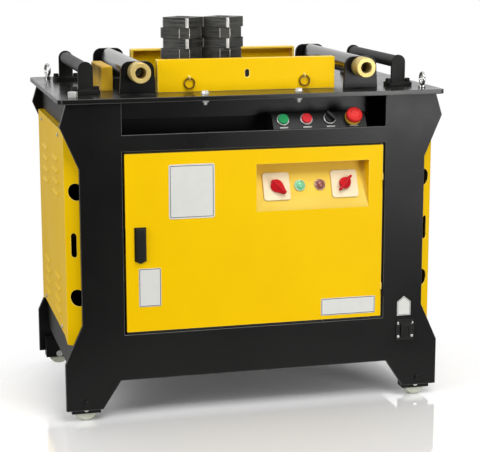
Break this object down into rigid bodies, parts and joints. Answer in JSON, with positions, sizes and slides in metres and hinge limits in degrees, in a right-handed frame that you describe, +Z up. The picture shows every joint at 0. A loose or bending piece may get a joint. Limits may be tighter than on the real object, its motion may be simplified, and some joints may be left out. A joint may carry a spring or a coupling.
{
  "type": "rebar bending machine",
  "caption": "Floor-standing powered bar bender: cabinet on small wheels, work deck with a turning disc, square die stacks, stop beams, support rollers, hinged door and controls.",
  "frame": {"origin": "on the floor under the middle of the deck", "axes": "+Z up, the door and the console face -Y, +X to the right seen from the front"},
  "size_m": [1, 0.61, 1],
  "materials": {
    "black_paint": "semi-gloss black powder coat",
    "grey_paint": "satin dark grey paint",
    "yellow_paint": "gloss yellow enamel",
    "bright_steel": "turned bright steel",
    "zinc_steel": "zinc plated",
    "die_steel": "blackened tool steel",
    "chrome": "polished",
    "brass": "turned brass",
    "cast_housing": "painted casting",
    "motor_alloy": "painted alloy casting",
    "belt_rubber": "rubber belt",
    "nylon": "off-white nylon",
    "black_plastic": "fine moulded texture",
    "cream_plastic": "smooth moulded",
    "red_plastic": "smooth moulded red",
    "green_plastic": "smooth moulded green",
    "yellow_plastic": "smooth moulded yellow",
    "green_lens": "translucent lens",
    "red_lens": "translucent lens, unlit"
  },
  "bodies": {
    "frame": {"front_plate": "black_paint", "rear_plate": "black_paint", "deck_plate": "black_paint", "roller_brackets": "black_paint", "rail_posts": "black_paint", "rail_bars": "black_paint", "corner_posts": "black_paint", "base_pan": "black_paint", "deck_beams": "black_paint", "slot_wall": "black_paint", "control_console": "black_paint", "hinge_pins": "black_paint", "wheel_forks": "black_paint", "side_rails": "grey_paint", "electrical_box": "grey_paint", "left_side_panel": "yellow_paint", "right_side_panel": "yellow_paint", "rear_panel": "yellow_paint", "front_beam": "yellow_paint", "rear_beam": "yellow_paint", "guide_block": "yellow_paint", "button_bezels": "bright_steel", "deck_bolts": "zinc_steel", "wheel_axles": "zinc_steel", "eye_bolts": "chrome", "roller_bushes": "brass", "gear_reducer": "cast_housing", "spindle_bearing": "cast_housing", "motor": "motor_alloy", "drive_belts": "belt_rubber", "inlet_socket": "black_plastic", "estop_ring": "yellow_plastic"},
    "door": {"door": "yellow_paint", "latch_body": "black_plastic", "switch_plates": "cream_plastic", "green_lamp": "green_lens", "red_lamp": "red_lens"},
    "latch": {"latch_handle": "black_plastic"},
    "left_switch": {"left_switch_knob": "red_plastic"},
    "right_switch": {"right_switch_knob": "red_plastic"},
    "start_button": {"green_button": "green_plastic"},
    "stop_button": {"red_button": "red_plastic"},
    "selector": {"selector_knob": "black_plastic"},
    "emergency_stop": {"estop_button": "red_plastic"},
    "spindle": {"work_disc": "die_steel", "spindle_shaft": "bright_steel", "die_pins": "die_steel", "center_dies": "die_steel", "bending_dies": "die_steel"},
    "left_roller": {"left_roller": "bright_steel"},
    "right_roller": {"right_roller": "bright_steel"},
    "front_left_wheel": {"front_left_wheel": "nylon"},
    "front_right_wheel": {"front_right_wheel": "nylon"},
    "rear_left_wheel": {"rear_left_wheel": "nylon"},
    "rear_right_wheel": {"rear_right_wheel": "nylon"},
    "motor_pulley": {"motor_pulley": "motor_alloy"},
    "reducer_pulley": {"reducer_pulley": "motor_alloy"},
    "inlet_cover": {"inlet_cover": "black_plastic"},
    "left_pull_ring": {"left_pull_ring": "zinc_steel"},
    "right_pull_ring": {"right_pull_ring": "zinc_steel"}
  },
  "joints": [
    {"name": "door_hinge", "type": "hinge", "parent": "frame", "child": "door", "pos_m": [0.3405, -0.297, 0.455], "axis": [0, 0, 1], "range_deg": [0, 110]},
    {"name": "latch_turn", "type": "hinge", "parent": "door", "child": "latch", "pos_m": [-0.3006, -0.297, 0.48], "axis": [0, -1, 0], "range_deg": [0, 90]},
    {"name": "left_switch_turn", "type": "hinge", "parent": "door", "child": "left_switch", "pos_m": [0.0578, -0.27079, 0.581], "axis": [0, -0.9306, 0.3661], "range_deg": [0, 90]},
    {"name": "right_switch_turn", "type": "hinge", "parent": "door", "child": "right_switch", "pos_m": [0.2402, -0.27079, 0.581], "axis": [0, -0.9306, 0.3661], "range_deg": [0, 90]},
    {"name": "start_press", "type": "slide", "parent": "frame", "child": "start_button", "axis": [0, 0.8321, -0.5547], "range_m": [0, 0.003], "stiffness_N_per_m": 400},
    {"name": "stop_press", "type": "slide", "parent": "frame", "child": "stop_button", "axis": [0, 0.8321, -0.5547], "range_m": [0, 0.003], "stiffness_N_per_m": 400},
    {"name": "selector_turn", "type": "hinge", "parent": "frame", "child": "selector", "pos_m": [0.199, -0.27012, 0.75132], "axis": [0, -0.8321, 0.5547], "range_deg": [-80, 0]},
    {"name": "emergency_press", "type": "slide", "parent": "frame", "child": "emergency_stop", "axis": [0, 0.8321, -0.5547], "range_m": [0, 0.005]},
    {"name": "motor_turn", "type": "hinge", "parent": "frame", "child": "motor_pulley", "pos_m": [0.19, 0, 0.212], "axis": [1, 0, 0], "range_deg": [0, 14040]},
    {"name": "reducer_turn", "type": "hinge", "parent": "frame", "child": "reducer_pulley", "pos_m": [0.19, 0, 0.64], "axis": [1, 0, 0], "range_deg": [0, 7020]},
    {"name": "spindle_turn", "type": "hinge", "parent": "frame", "child": "spindle", "pos_m": [-0.015, 0, 0.8], "axis": [0, 0, 1], "range_deg": [0, 180]},
    {"name": "left_roller_spin", "type": "hinge", "parent": "frame", "child": "left_roller", "pos_m": [-0.2895, 0, 0.879], "axis": [0, 1, 0], "continuous": true},
    {"name": "right_roller_spin", "type": "hinge", "parent": "frame", "child": "right_roller", "pos_m": [0.2955, 0, 0.879], "axis": [0, 1, 0], "continuous": true},
    {"name": "front_left_wheel_spin", "type": "hinge", "parent": "frame", "child": "front_left_wheel", "pos_m": [-0.444, -0.266, 0.03], "axis": [0, 1, 0], "continuous": true},
    {"name": "front_right_wheel_spin", "type": "hinge", "parent": "frame", "child": "front_right_wheel", "pos_m": [0.444, -0.266, 0.03], "axis": [0, 1, 0], "continuous": true},
    {"name": "rear_left_wheel_spin", "type": "hinge", "parent": "frame", "child": "rear_left_wheel", "pos_m": [-0.444, 0.266, 0.03], "axis": [0, 1, 0], "continuous": true},
    {"name": "rear_right_wheel_spin", "type": "hinge", "parent": "frame", "child": "rear_right_wheel", "pos_m": [0.444, 0.266, 0.03], "axis": [0, 1, 0], "continuous": true},
    {"name": "inlet_cover_flip", "type": "hinge", "parent": "frame", "child": "inlet_cover", "pos_m": [0.406, -0.3023, 0.203], "axis": [-1, 0, 0], "range_deg": [0, 110], "stiffness_Nm_per_rad": 0.02},
    {"name": "left_ring_swing", "type": "hinge", "parent": "frame", "child": "left_pull_ring", "pos_m": [-0.152, -0.2045, 0.857], "axis": [-1, 0, 0], "range_deg": [0, 110]},
    {"name": "right_ring_swing", "type": "hinge", "parent": "frame", "child": "right_pull_ring", "pos_m": [0.152, -0.2045, 0.857], "axis": [-1, 0, 0], "range_deg": [0, 110]}
  ],
  "couplings": [
    {"joint": "reducer_turn", "follows": "motor_turn", "ratio": 0.5},
    {"joint": "spindle_turn", "follows": "motor_turn", "ratio": 0.012821}
  ]
}
